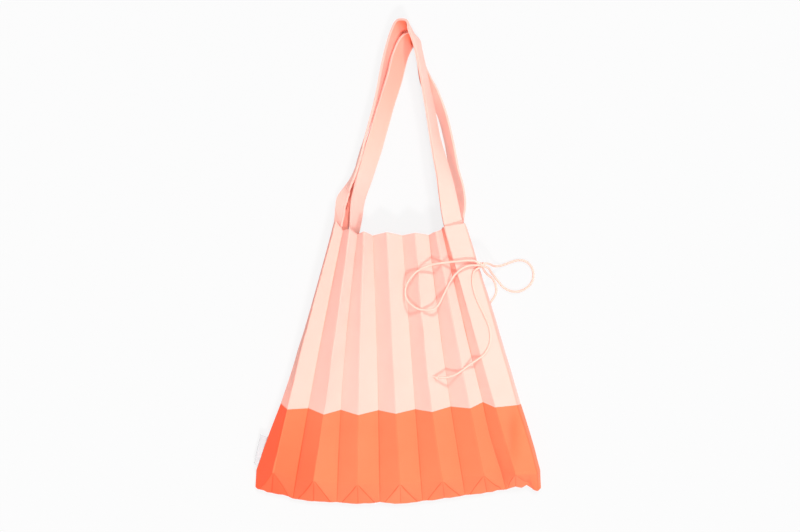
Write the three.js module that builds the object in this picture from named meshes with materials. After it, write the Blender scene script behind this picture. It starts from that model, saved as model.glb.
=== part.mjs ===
// A pleated knit shoulder bag lying on its back: two knitted halves in two colours, two shoulder
// straps, a blank side label and a bow of thin cord at the right edge.
// Millimetres. +X is the bag's right seen from the front, +Y points from the hem to the straps and
// +Z points up from the surface the bag lies on. In the tables below y is measured from the hem.
import * as THREE from 'three';

// Knit wall, the flat tops of the ridges, and the flats under the bag that it rests on
const WALL = 2;
const CREST = 3;
const REST_FLAT = 5;
// Half width of a ridge's triangle at the hem, and the widest share of a pleat's panel that a crest
// or a triangle takes
const TOE_REACH = 16;
const CREST_SHARE = 0.35;
const TOE_SHARE = 0.62;
const VALLEY_HIP_RISE = 24;
const MITER_LIMIT = 1.6;
// Space between neighbouring pieces, and the middle of the bag's length from the hem
const GAP = 0.3;
const ORIGIN_Y = 290;

const STRAP_WIDTH = 24;
const STRAP_THICKNESS = 3;
const STRAP_CHAMFER = 1;
const STRAP_STEPS_PER_ROW = 2;

const CORD_DIAMETER = 2.6;
const CORD_SIDES = 8;
const CORD_STEP = 10;
const KNOT_RADIUS = 4.2;
const END_KNOT_RADIUS = 2.6;
const KNOT_SIDES = 14;
const KNOT_RINGS = 9;

const LABEL_THICKNESS = 0.9;

const PEACH = '#fbd8c6';
const ORANGE = '#f98a5a';
const CREAM = '#fbe3d6';
const WHITE = '#eceaea';
const KNIT_ROUGHNESS = 0.9;
const LABEL_ROUGHNESS = 0.7;

// Levels of the folds: height of the middle of the wall over the surface, at four lines across the bag
const LEVELS = {
  hem: {
    ridge: 5, valley: 5, restRidge: 2.7, restValley: 2.7,
    sideLeft: 3.85, tabEdge: 5, sideRight: 3.85,
  },
  hip: {
    ridge: 26, valley: 13.5, restRidge: 1, restValley: 7,
    sideLeft: 8, tabEdge: 19, sideRight: 8,
  },
  band: {
    ridge: 35, valley: 21.5, restRidge: 1, restValley: 9,
    sideLeft: 11.5, tabEdge: 27.5, sideRight: 10.5,
  },
  mouth: {
    ridge: 43, valley: 24, restRidge: 1, restValley: 10,
    sideLeft: 17, tabEdge: 36, sideRight: 12,
  },
};
const LINES = ['hem', 'hip', 'band', 'mouth'];
const BAND_LINE = 2;
const MOUTH_LINE = 3;
const UPPER_ROWS = 6;
const BASE_LINES = [0, 0.5, 1, 1.5, 2];

// Folds of the pleats, from left to right: where each crosses the mouth, the colour line, the hip
// (the upper corner of a ridge's hem triangle) and the hem
const FOLDS = [
  { kind: 'ridge', mouth: [-72.6, 337], band: [-133.9, 111.6], hip: [-150.5, 36], hem: [-154, 8] },
  { kind: 'valley', mouth: [-66, 326.4], band: [-108, 112.8], hem: [-128, 1.3] },
  { kind: 'ridge', mouth: [-57.6, 327.6], band: [-89.2, 106.6], hip: [-101.6, 26], hem: [-103, -2] },
  { kind: 'valley', mouth: [-48.8, 321.6], band: [-69, 110.9], hem: [-74.4, -3] },
  { kind: 'ridge', mouth: [-40.8, 324.7], band: [-47.5, 106], hip: [-48.8, 21], hem: [-48.8, -5] },
  { kind: 'valley', mouth: [-30.4, 320.4], band: [-23.6, 110.4], hem: [-22, -3] },
  { kind: 'ridge', mouth: [-13.2, 324], band: [-2.4, 107.6], hip: [2.4, 21.6], hem: [3.2, -5] },
  { kind: 'valley', mouth: [5.3, 320.4], band: [21.1, 111.6], hem: [29.8, -1.5] },
  { kind: 'ridge', mouth: [20.6, 323.3], band: [41, 109.7], hip: [53.7, 25], hem: [56.4, 1.4] },
  { kind: 'valley', mouth: [37.2, 321], band: [63.8, 114.8], hem: [81.6, 5.6] },
  { kind: 'ridge', mouth: [45.6, 324.7], band: [86.5, 114], hip: [103.5, 31.5], hem: [108.3, 8.7] },
  { kind: 'valley', mouth: [52.8, 327.6], band: [102.4, 120.7], hem: [131.5, 12.7] },
  { kind: 'ridge', mouth: [55.7, 331], band: [116.9, 115.2], hip: [141.5, 32.5], hem: [143.2, 16] },
];

// Edges of the two halves: the left and right side seams and the right edge of the broad end panel
const SIDE_LEFT = {
  mouth: [-76.8, 337], band: [-140.4, 117], hip: [-171.6, 36], hem: [-173.5, 16], bow: -1,
};
const TAB_EDGE = {
  mouth: [79, 335], band: [142, 117], hip: [167, 34], hem: [169.5, 11], bow: 0.8,
};
const SIDE_RIGHT = {
  mouth: [82, 332], band: [148, 117], hip: [172, 36], hem: [173.5, 14], bow: 0.8,
};

// Shoulder straps, from the left end over the top to the right end. lean is the angle in degrees of
// the strap's upper edge from upright, positive outwards from the loop. width is given where the
// inner strap is squeezed narrow as it passes under the outer one
const STRAP_OUTER = [
  { x: -75.9, y: 318, z: 21.5, lean: 0 },
  { x: -71.2, y: 336, z: 21.2, lean: 1 },
  { x: -72, y: 349, z: 14.5, lean: -21 },
  { x: -69.8, y: 364, z: 12.3, lean: -28 },
  { x: -63.4, y: 377, z: 12.3, lean: -24 },
  { x: -56, y: 390, z: 12.3, lean: -10 },
  { x: -48.8, y: 413, z: 12.3, lean: -5 },
  { x: -39.6, y: 447, z: 12.3, lean: 1 },
  { x: -27.4, y: 488, z: 12.3, lean: 10 },
  { x: -14.4, y: 530, z: 12.2, lean: 22 },
  { x: -5.4, y: 556, z: 11, lean: 38 },
  { x: 0.4, y: 569.5, z: 10.5, lean: 44 },
  { x: 4.6, y: 575.8, z: 12, lean: 45 },
  { x: 11.8, y: 576, z: 17, lean: 14 },
  { x: 17, y: 567.8, z: 21.5, lean: -18 },
  { x: 21.2, y: 557, z: 23, lean: -20 },
  { x: 24.7, y: 545, z: 23, lean: -20 },
  { x: 32, y: 510, z: 22, lean: -22 },
  { x: 38.4, y: 476, z: 23, lean: -26 },
  { x: 46.7, y: 435, z: 25, lean: -38 },
  { x: 55.8, y: 391, z: 29, lean: -50 },
  { x: 61, y: 361, z: 33, lean: -65 },
  { x: 65.6, y: 337, z: 34.2, lean: -68 },
  { x: 71.6, y: 316, z: 35.1, lean: -73 },
];
const STRAP_INNER = [
  { x: -54.9, y: 312, z: 22.9, lean: 21 },
  { x: -53, y: 326, z: 22.4, lean: 24 },
  { x: -51.2, y: 341, z: 18.5, lean: 32 },
  { x: -48.6, y: 364, z: 12.5, lean: 38 },
  { x: -41.5, y: 389, z: 10.2, lean: 47 },
  { x: -28.7, y: 435, z: 6.7, lean: 65 },
  { x: -13.2, y: 487, z: 8, lean: 57 },
  { x: -4.4, y: 513, z: 9, lean: 51 },
  { x: 2.7, y: 541, z: 9, lean: 50 },
  { x: 10.1, y: 556.2, z: 9, lean: 50 },
  { x: 14.5, y: 560.3, z: 8, lean: 50, width: 18 },
  { x: 19.3, y: 557.5, z: 4.4, lean: 70, width: 12 },
  { x: 24.3, y: 547, z: 4.2, lean: 74, width: 11 },
  { x: 27.6, y: 529, z: 4, lean: 76, width: 11 },
  { x: 34.2, y: 510, z: 5.6, lean: 62, width: 16 },
  { x: 44.4, y: 489, z: 9.5, lean: 36, width: 22 },
  { x: 54, y: 468, z: 12, lean: 22 },
  { x: 63.2, y: 435, z: 12.4, lean: 16 },
  { x: 69.6, y: 401, z: 12.3, lean: 17 },
  { x: 75.4, y: 377, z: 13, lean: 20 },
  { x: 77, y: 358, z: 15, lean: 20 },
  { x: 71.8, y: 341, z: 16, lean: 36 },
  { x: 69.6, y: 326, z: 16.2, lean: 48 },
  { x: 70, y: 314, z: 16, lean: 55 },
];

// Routes of the tie cord: the bow lies over the ridges on its left and on the surface on its right
const KNOT_CENTRE = [100.4, 285.6, 35];
const LOOP_LEFT = [
  [96.9, 288, 37.1], [91, 290.6, 39.2], [82, 291, 41.2], [73, 290, 43.6], [65, 289.4, 44.6],
  [53, 288, 44.4], [41, 286, 43.6], [25, 279.6, 44.2], [14, 269, 42.6], [9, 257.5, 40],
  [9.5, 246.5, 39.4], [14.8, 239, 40.6], [23.4, 233.4, 42.2], [33, 231.8, 42.9], [42, 232.6, 42],
  [48, 237.6, 41.6], [54.6, 250.6, 42.6], [62, 265.2, 43.9], [68.4, 274.6, 44.4], [76.8, 281.6, 43.7],
  [86, 285, 40.4], [96, 285.2, 37.6],
];
const LOOP_RIGHT = [
  [105.5, 287.5, 34.9], [110, 286.8, 29], [114, 285.2, 19], [118, 284.2, 8.5], [126, 284.8, 2.4],
  [136.2, 288.4, 1.8], [145.1, 291.2, 1.8], [153.9, 290.8, 1.8], [161.4, 285.6, 1.8],
  [165.4, 276, 1.8], [164, 265.8, 1.8], [157, 257.6, 1.8], [147, 253.2, 1.8], [137.6, 253.8, 1.8],
  [128.8, 258.4, 1.8], [122.6, 265.4, 2.6], [116.4, 272.6, 8], [112, 278, 18], [109, 281.6, 27],
  [105, 283.4, 32.8],
];
const TAIL_LONG = [
  [97, 282.4, 35.8], [91.6, 278.6, 38], [89.2, 271.8, 39], [89.4, 262, 39.4], [92, 250.6, 39.2],
  [97.2, 237.6, 38.9], [103.4, 225.2, 38.1], [108.6, 212.6, 37.1], [110.6, 200.4, 36.9],
  [108.8, 188.6, 37.6], [102.8, 178.8, 39.9], [93.6, 171.8, 40.1], [83.4, 164.8, 39.6],
  [75.2, 158.6, 39.4], [66.7, 153.6, 38.2], [57.6, 151, 37.5], [49.4, 150.6, 36.3],
];
const TAIL_SHORT = [
  [102, 282, 32.5], [105, 277.4, 25.5], [108.8, 273.6, 16.5], [115.6, 268.4, 6.4], [119.4, 260.6, 2],
  [120, 253, 1.8], [117.6, 246.4, 1.8], [114, 241.6, 1.8], [110.6, 235, 1.8], [109, 226, 1.8],
  [109.4, 216, 1.8],
];
const END_KNOT_LONG = [46.5, 150.6, 36];
const END_KNOT_SHORT = [109.7, 213.1, 2.7];

// Blank tag in the left side seam: where its two ends cross the seam, between the hip (1) and the
// colour line (2), and how far each stands out
const LABEL = [
  { line: 1.5, reach: 9.4 },
  { line: 1.07, reach: 5.4 },
];
const LABEL_LEVEL = 8.7;
const LABEL_SLANT = 1 / 3;

// Where a fold or an edge runs at a line across the bag: 0 hem, 1 hip, 2 colour line, 3 mouth
function alongFold(fold, line) {
  const lower = Math.min(Math.floor(line), MOUTH_LINE - 1);
  const share = line - lower;
  const from = fold[LINES[lower]] ?? valleyHip(fold);
  const to = fold[LINES[lower + 1]] ?? valleyHip(fold);
  const bow = lower === 1 ? (fold.bow ?? 0) * Math.sin(Math.PI * share) : 0;
  return {
    x: THREE.MathUtils.lerp(from[0], to[0], share) + bow,
    y: THREE.MathUtils.lerp(from[1], to[1], share),
  };
}

// A valley has no hip of its own: it runs straight from the colour line to the hem
function valleyHip(fold) {
  const share = VALLEY_HIP_RISE / (fold.band[1] - fold.hem[1]);
  return [THREE.MathUtils.lerp(fold.hem[0], fold.band[0], share), fold.hem[1] + VALLEY_HIP_RISE];
}

function levelAt(column, line) {
  const lower = Math.min(Math.floor(line), MOUTH_LINE - 1);
  return THREE.MathUtils.lerp(
    LEVELS[LINES[lower]][column],
    LEVELS[LINES[lower + 1]][column],
    line - lower,
  );
}

// The two shoulders of a fold's crest: narrow along the bag, and as wide as the hem triangle at the hem
function crestReach(distance, line, flat) {
  const narrow = Math.min(flat / 2, CREST_SHARE * distance);
  const toe = Math.min(TOE_REACH, TOE_SHARE * distance);
  return THREE.MathUtils.lerp(toe, narrow, Math.min(line, 1));
}

function crestPoints(index, line, ridgeLevel, valleyLevel, ridgeFlat) {
  const fold = FOLDS[index];
  const here = alongFold(fold, line);
  const left = alongFold(FOLDS[index - 1] ?? SIDE_LEFT, line);
  const right = alongFold(FOLDS[index + 1] ?? TAB_EDGE, line);
  const isRidge = fold.kind === 'ridge';
  const z = isRidge ? ridgeLevel : valleyLevel;
  return [left, here, right].map((neighbour) => {
    const distance = Math.abs(neighbour.x - here.x);
    if (distance === 0) return { ...here, z };
    const reach = isRidge
      ? crestReach(distance, line, ridgeFlat)
      : Math.min(CREST / 2, CREST_SHARE * distance);
    const share = reach / distance;
    return {
      x: THREE.MathUtils.lerp(here.x, neighbour.x, share),
      y: THREE.MathUtils.lerp(here.y, neighbour.y, isRidge && line < 1 ? share * (1 - line) : 0),
      z,
    };
  });
}

// One closed line round the bag, through the middle of the wall: the front from the left seam to the
// right seam, then the back from the right seam to the left one
function loopAt(line) {
  const sideLeft = { ...alongFold(SIDE_LEFT, line), z: levelAt('sideLeft', line) };
  const sideRight = { ...alongFold(SIDE_RIGHT, line), z: levelAt('sideRight', line) };
  const tabEdge = { ...alongFold(TAB_EDGE, line), z: levelAt('tabEdge', line) };
  const ridge = levelAt('ridge', line);
  const valley = levelAt('valley', line);
  const restRidge = levelAt('restRidge', line);
  const restValley = levelAt('restValley', line);
  const frontHalf = FOLDS.flatMap((_, i) => crestPoints(i, line, ridge, valley, CREST));
  const backHalf = FOLDS.flatMap((_, i) => crestPoints(i, line, restRidge, restValley, REST_FLAT));
  const halfSeam = (LEVELS.hem.ridge - LEVELS.hem.restRidge) / 2;
  const front = [
    { ...sideLeft, z: sideLeft.z + GAP / 2 },
    { ...sideLeft, z: sideLeft.z + halfSeam },
    ...frontHalf,
    tabEdge,
    { ...sideRight, z: sideRight.z + halfSeam },
    { ...sideRight, z: sideRight.z + GAP / 2 },
  ];
  const back = [
    { ...sideRight, z: sideRight.z - GAP / 2 },
    { ...sideRight, z: sideRight.z - halfSeam },
    ...backHalf.reverse(),
    { ...sideLeft, z: sideLeft.z - halfSeam },
    { ...sideLeft, z: sideLeft.z - GAP / 2 },
  ];
  return { front, back };
}

// The outer and inner faces of the wall, half a wall to each side of the closed line
function facesOf(loop) {
  return loop.map((point, i) => {
    const before = loop[(i + loop.length - 1) % loop.length];
    const after = loop[(i + 1) % loop.length];
    const normals = [[before, point], [point, after]].map(([a, b]) =>
      new THREE.Vector2(a.z - b.z, b.x - a.x).normalize());
    const middle = normals[0].clone().add(normals[1]).normalize();
    const stretch = Math.min(MITER_LIMIT, 1 / Math.max(middle.dot(normals[0]), 1 / MITER_LIMIT));
    const shift = middle.multiplyScalar((stretch * WALL) / 2);
    return {
      outer: new THREE.Vector3(point.x + shift.x, point.y, point.z + shift.y),
      inner: new THREE.Vector3(point.x - shift.x, point.y, point.z - shift.y),
    };
  });
}

// A closed mesh from rings of points, each ring with the same number of points in the same order
function loft(rings, flip = false) {
  const count = rings[0].length;
  const positions = rings.flatMap((ring) => ring.flatMap((p) => [p.x, p.y, p.z]));
  const indices = [];
  const addTriangle = (a, b, c) => indices.push(...(flip ? [a, c, b] : [a, b, c]));
  for (let row = 0; row + 1 < rings.length; row += 1) {
    for (let i = 0; i < count; i += 1) {
      const next = (i + 1) % count;
      const a = row * count + i;
      const b = row * count + next;
      addTriangle(a, b, a + count);
      addTriangle(b, b + count, a + count);
    }
  }
  addCap(0, count, (a, b, c) => addTriangle(a, c, b));
  addCap((rings.length - 1) * count, count, addTriangle);
  const geometry = new THREE.BufferGeometry();
  geometry.setAttribute('position', new THREE.Float32BufferAttribute(positions, 3));
  geometry.setIndex(indices);
  geometry.computeVertexNormals();
  return geometry;
}

// The end face of a ring, as a strip between its first half and its second half
function addCap(start, count, addTriangle) {
  for (let i = 0; i < count / 2 - 1; i += 1) {
    const a = start + i;
    const b = start + i + 1;
    const c = start + count - 2 - i;
    const d = start + count - 1 - i;
    addTriangle(a, b, d);
    addTriangle(b, c, d);
  }
}

// One colour of one half of the bag, between two lines across it
function knitPanel(half, lines, startGap, endGap) {
  const rings = lines.map((line, row) => {
    const loop = loopAt(line);
    const faces = facesOf([...loop.front, ...loop.back]);
    const first = half === 'front' ? 0 : loop.front.length;
    const wall = faces.slice(first, first + loop[half].length);
    const lift = (row === 0 ? startGap : 0) - (row === lines.length - 1 ? endGap : 0);
    const ring = [...wall.map((f) => f.outer), ...wall.map((f) => f.inner).reverse()];
    return ring.map((p) => p.clone().add(new THREE.Vector3(0, lift, 0)));
  });
  return loft(rings);
}

// A flat strap that turns along its way, with its section square to the way
function strap(rows) {
  const way = new THREE.CatmullRomCurve3(rows.map((r) => new THREE.Vector3(r.x, r.y, r.z)));
  const turns = rows.map((r, i) => new THREE.Vector3(i, r.lean, r.width ?? STRAP_WIDTH));
  const leans = new THREE.CatmullRomCurve3(turns, false, 'catmullrom');
  const steps = (rows.length - 1) * STRAP_STEPS_PER_ROW;
  const rings = Array.from({ length: steps + 1 }, (_, step) => {
    const centre = way.getPoint(step / steps);
    const tangent = way.getTangent(step / steps);
    const outward = new THREE.Vector3(-tangent.y, tangent.x, 0).normalize();
    const upward = new THREE.Vector3().crossVectors(tangent, outward).normalize();
    const turn = leans.getPoint(step / steps);
    const lean = THREE.MathUtils.degToRad(turn.y);
    const sin = Math.sin(lean);
    const cos = Math.cos(lean);
    const across = outward.clone().multiplyScalar(sin).addScaledVector(upward, cos);
    const through = outward.clone().multiplyScalar(cos).addScaledVector(upward, -sin);
    return strapSection(turn.z).map(([u, v]) =>
      centre.clone().addScaledVector(across, u).addScaledVector(through, v));
  });
  return loft(rings, true);
}

// Corners of a strap's section, across its width and through its thickness
function strapSection(width) {
  const w = width / 2;
  const t = STRAP_THICKNESS / 2;
  const c = STRAP_CHAMFER;
  return [
    [w, c - t], [w, t - c], [w - c, t], [c - w, t],
    [-w, t - c], [-w, c - t], [c - w, -t], [w - c, -t],
  ];
}

function cordTube(route) {
  const way = new THREE.CatmullRomCurve3(route.map((p) => new THREE.Vector3(...p)));
  const section = new THREE.Shape();
  for (let side = 0; side < CORD_SIDES; side += 1) {
    const angle = (side * 2 * Math.PI) / CORD_SIDES;
    const corner = [Math.cos(angle) * CORD_DIAMETER / 2, Math.sin(angle) * CORD_DIAMETER / 2];
    if (side === 0) section.moveTo(...corner);
    else section.lineTo(...corner);
  }
  section.closePath();
  const steps = Math.round(way.getLength() / CORD_STEP);
  return new THREE.ExtrudeGeometry(section, { extrudePath: way, steps, bevelEnabled: false });
}

function knot(radius) {
  return new THREE.SphereGeometry(radius, KNOT_SIDES, KNOT_RINGS);
}

// The tag stands out from the seam between two points of the left side
function labelTag() {
  const corners = LABEL.map(({ line, reach }) => {
    const seam = alongFold(SIDE_LEFT, line);
    const inner = seam.x - WALL / 2 - GAP;
    return { inner: [inner, seam.y], outer: [inner - reach, seam.y + reach * LABEL_SLANT] };
  });
  const outline = new THREE.Shape();
  outline.moveTo(...corners[0].inner);
  outline.lineTo(...corners[0].outer);
  outline.lineTo(...corners[1].outer);
  outline.lineTo(...corners[1].inner);
  outline.closePath();
  const geometry = new THREE.ExtrudeGeometry(outline, { depth: LABEL_THICKNESS, bevelEnabled: false });
  return geometry.translate(0, 0, LABEL_LEVEL);
}

function addPiece(group, name, geometry, color, roughness = KNIT_ROUGHNESS) {
  const material = new THREE.MeshStandardMaterial({ color, roughness, metalness: 0 });
  const mesh = new THREE.Mesh(geometry, material);
  mesh.name = name;
  group.add(mesh);
  return mesh;
}

const bag = new THREE.Group();
bag.position.y = -ORIGIN_Y;

const upperLines = Array.from({ length: UPPER_ROWS }, (_, i) => BAND_LINE + i / (UPPER_ROWS - 1));
for (const half of ['front', 'back']) {
  addPiece(bag, `${half}_upper`, knitPanel(half, upperLines, GAP / 2, 0), PEACH);
  addPiece(bag, `${half}_base`, knitPanel(half, BASE_LINES, 0, GAP / 2), ORANGE);
}

addPiece(bag, 'strap_outer', strap(STRAP_OUTER), PEACH);
addPiece(bag, 'strap_inner', strap(STRAP_INNER), PEACH);
addPiece(bag, 'side_label', labelTag(), WHITE, LABEL_ROUGHNESS);

addPiece(bag, 'tie_loop_left', cordTube(LOOP_LEFT), CREAM);
addPiece(bag, 'tie_loop_right', cordTube(LOOP_RIGHT), CREAM);
addPiece(bag, 'tie_tail_long', cordTube(TAIL_LONG), CREAM);
addPiece(bag, 'tie_tail_short', cordTube(TAIL_SHORT), CREAM);
addPiece(bag, 'tie_knot', knot(KNOT_RADIUS), CREAM).position.set(...KNOT_CENTRE);
addPiece(bag, 'tie_end_knot_long', knot(END_KNOT_RADIUS), CREAM).position.set(...END_KNOT_LONG);
addPiece(bag, 'tie_end_knot_short', knot(END_KNOT_RADIUS), CREAM).position.set(...END_KNOT_SHORT);

export default bag;
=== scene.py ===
import math

import bpy
import numpy as np
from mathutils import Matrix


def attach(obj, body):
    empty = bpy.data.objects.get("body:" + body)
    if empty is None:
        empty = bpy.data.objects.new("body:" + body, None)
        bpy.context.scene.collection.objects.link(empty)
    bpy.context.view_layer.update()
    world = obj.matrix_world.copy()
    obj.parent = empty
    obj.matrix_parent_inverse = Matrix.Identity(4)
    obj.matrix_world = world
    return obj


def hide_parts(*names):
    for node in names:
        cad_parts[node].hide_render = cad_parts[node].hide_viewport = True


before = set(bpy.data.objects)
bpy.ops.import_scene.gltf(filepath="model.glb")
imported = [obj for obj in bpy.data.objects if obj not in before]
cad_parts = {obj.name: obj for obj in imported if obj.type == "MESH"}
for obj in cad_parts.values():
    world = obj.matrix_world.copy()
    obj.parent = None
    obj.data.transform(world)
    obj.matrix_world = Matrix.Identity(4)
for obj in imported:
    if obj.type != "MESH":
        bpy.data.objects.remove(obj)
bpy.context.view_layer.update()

# The tables are in millimetres, with y measured from the hem
MM = 0.001
ORIGIN = np.array([0.0, 290.0, 0.0])


def to_frame(points):
    """Points of the tables as points of the frame, in metres."""
    return (np.asarray(points, float) - ORIGIN) * MM


# Camera: straight above the bag
CAMERA_AT = (2.4, 284.4, 1733.0)
CAMERA_LENS = 63.75
SENSOR = 36.0

camera_data = bpy.data.cameras.new("photo_camera")
camera_data.lens = CAMERA_LENS
camera_data.sensor_width = SENSOR
camera = bpy.data.objects.new("photo_camera", camera_data)
camera.location = to_frame(CAMERA_AT)
bpy.context.scene.collection.objects.link(camera)
bpy.context.scene.camera = camera


# Curves and meshes
SHARP_DEG = 60
STRANDS = 3
NEARLY_UPRIGHT = 1e-3
TINY = 1e-9


def centripetal(points, steps):
    """Smooth line through the points, with steps pieces between each two of them."""
    p = np.asarray(points, float)
    p = np.vstack([2 * p[0] - p[1], p, 2 * p[-1] - p[-2]])
    out = []
    for i in range(1, len(p) - 2):
        p0, p1, p2, p3 = p[i - 1 : i + 3]
        pairs = ((p0, p1), (p1, p2), (p2, p3))
        d0, d1, d2 = (max(np.linalg.norm(b - a) ** 0.5, TINY) for a, b in pairs)
        t1 = ((p1 - p0) / d0 - (p2 - p0) / (d0 + d1) + (p2 - p1) / d1) * d1
        t2 = ((p2 - p1) / d1 - (p3 - p1) / (d1 + d2) + (p3 - p2) / d2) * d1
        for s in np.arange(steps) / steps:
            a = 2 * p1 - 2 * p2 + t1 + t2
            b = -3 * p1 + 3 * p2 - 2 * t1 - t2
            out.append(((a * s + b) * s + t1) * s + p1)
    out.append(p[-2])
    return np.array(out)


def run_along(line):
    """Length of a line from its start to each of its points."""
    return np.r_[0, np.cumsum(np.linalg.norm(np.diff(line, axis=0), axis=1))]


def even_steps(line, step):
    """The same line with points at even distances."""
    run = run_along(line)
    at = np.linspace(0, run[-1], max(2, int(round(run[-1] / step)) + 1))
    return np.stack([np.interp(at, run, line[:, k]) for k in range(3)], axis=1)


def directions(line, closed=False):
    """Unit vectors along a line, one at each of its points."""
    if closed:
        d = np.roll(line, -1, axis=0) - np.roll(line, 1, axis=0)
    else:
        d = np.gradient(line, axis=0)
    return d / np.linalg.norm(d, axis=1)[:, None]


def add_object(name, vertices, faces, uv, crease_and_painted_shade=None):
    """A smooth mesh with the cloth's own map in millimetres and, where given, how strongly painted shade
    darkens each point.
    """
    mesh = bpy.data.meshes.new(name)
    mesh.from_pydata(to_frame(vertices).tolist(), [], faces)
    mesh.update()
    layer = mesh.uv_layers.new(name="knit")
    corners = np.empty(len(mesh.loops), int)
    mesh.loops.foreach_get("vertex_index", corners)
    layer.uv.foreach_set("vector", np.asarray(uv, np.float32)[corners].ravel())
    if crease_and_painted_shade is not None:
        attribute = mesh.attributes.new("crease_and_painted_shade", "FLOAT", "POINT")
        attribute.data.foreach_set("value", np.asarray(crease_and_painted_shade, np.float32))
    mesh.shade_smooth()
    mesh.set_sharp_from_angle(angle=math.radians(SHARP_DEG))
    obj = bpy.data.objects.new(name, mesh)
    bpy.context.scene.collection.objects.link(obj)
    return obj


def ring_mesh(rings, closed=False):
    """Vertices and faces of a tube of rings with the same number of points; open ends get a fan."""
    rows, count = rings.shape[:2]
    vertices = rings.reshape(-1, 3)
    faces = []
    for row in range(rows if closed else rows - 1):
        a = row * count
        b = ((row + 1) % rows) * count
        for i in range(count):
            j = (i + 1) % count
            faces.append((a + i, a + j, b + j, b + i))
    if not closed:
        ends = np.array([rings[0].mean(axis=0), rings[-1].mean(axis=0)])
        first = len(vertices)
        vertices = np.vstack([vertices, ends])
        last = (rows - 1) * count
        for i in range(count):
            j = (i + 1) % count
            faces.append((first, j, i))
            faces.append((first + 1, last + i, last + j))
    return vertices, faces


def cord_rings(line, radius, sides, closed=False, twist=0.0, relief=0.0):
    """Rings of a cord along a line, with shallow strands that wind round it."""
    way = directions(line, closed)
    side = np.cross(way[0], [0.0, 0.0, 1.0])
    if np.linalg.norm(side) < NEARLY_UPRIGHT:
        side = np.cross(way[0], [0.0, 1.0, 0.0])
    rings = []
    run = run_along(line)
    angles = np.arange(sides) * 2 * math.pi / sides
    for i, point in enumerate(line):
        side = side - way[i] * np.dot(side, way[i])
        side = side / np.linalg.norm(side)
        up = np.cross(side, way[i])
        bulge = 1 + relief * np.cos(STRANDS * angles + twist * run[i])
        offsets = np.outer(np.cos(angles) * bulge, side) + np.outer(np.sin(angles) * bulge, up)
        rings.append(point + radius * offsets)
    rings = np.array(rings)
    uv = np.stack([np.tile(angles * radius, (len(line), 1)), np.tile(run[:, None], (1, sides))], axis=2)
    return rings, uv.reshape(-1, 2)


def padded(uv, count):
    """A map filled up to count points with its origin, for the middles of a tube's open ends."""
    return np.vstack([uv, np.zeros((count - len(uv), 2))])


def join_meshes(parts):
    """One mesh of several, each given as its vertices, faces and map."""
    vertices, faces, uvs, start = [], [], [], 0
    for v, f, uv in parts:
        vertices.append(v)
        faces += [tuple(start + i for i in face) for face in f]
        uvs.append(padded(uv, len(v)))
        start += len(v)
    return np.vstack(vertices), faces, np.vstack(uvs)


# Materials: painted shade darkens the cloth by this tint along folds, in hollows and on parts turned away
# from the light
PAINTED_SHADE_TINT = (0.99, 0.38, 0.23)
SPECULAR = 0.15
SHEEN = 0.12
SHEEN_ROUGHNESS = 0.6
STITCH_RELIEF = 0.25
MOTTLE_SCALE = 38.0
MOTTLE_DETAIL = 5.0
GROOVE_AT = 0.2
YARN_AT = 0.75
GROOVE_ROUGHNESS = 0.95
YARN_ROUGHNESS = 0.8
BUMP_STRENGTH = 0.6


def node(tree, kind, **values):
    """A new shader node with these settings."""
    n = tree.nodes.new(kind)
    for key, value in values.items():
        setattr(n, key, value)
    return n


def math_node(tree, operation, a, b=None):
    """Output of one step of arithmetic on sockets or numbers."""
    n = node(tree, "ShaderNodeMath", operation=operation)
    for socket, value in zip(n.inputs, (a, b)):
        if value is None:
            continue
        if isinstance(value, (int, float)):
            socket.default_value = value
        else:
            tree.links.new(value, socket)
    return n.outputs[0]


def stitch_height(tree, wale, course):
    """Height of V stitches over the cloth's own map, from 0 in a groove to 1, with wales along the cloth."""
    cloth = node(tree, "ShaderNodeUVMap", uv_map="knit")
    axes = node(tree, "ShaderNodeSeparateXYZ")
    tree.links.new(cloth.outputs[0], axes.inputs[0])
    across = math_node(tree, "DIVIDE", axes.outputs[0], wale)
    along = math_node(tree, "DIVIDE", axes.outputs[1], course)
    in_wale = math_node(tree, "FRACT", across)
    from_middle = math_node(tree, "ABSOLUTE", math_node(tree, "SUBTRACT", in_wale, 0.5))
    slanted = math_node(tree, "MULTIPLY", math_node(tree, "ADD", along, from_middle), 2 * math.pi)
    stitch = math_node(tree, "MULTIPLY", math_node(tree, "SINE", slanted), STITCH_RELIEF)
    round_wale = math_node(tree, "COSINE", math_node(tree, "MULTIPLY", from_middle, 4 * math.pi))
    column = math_node(tree, "MULTIPLY", round_wale, STITCH_RELIEF)
    return math_node(tree, "ADD", math_node(tree, "ADD", stitch, column), 0.5)


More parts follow.
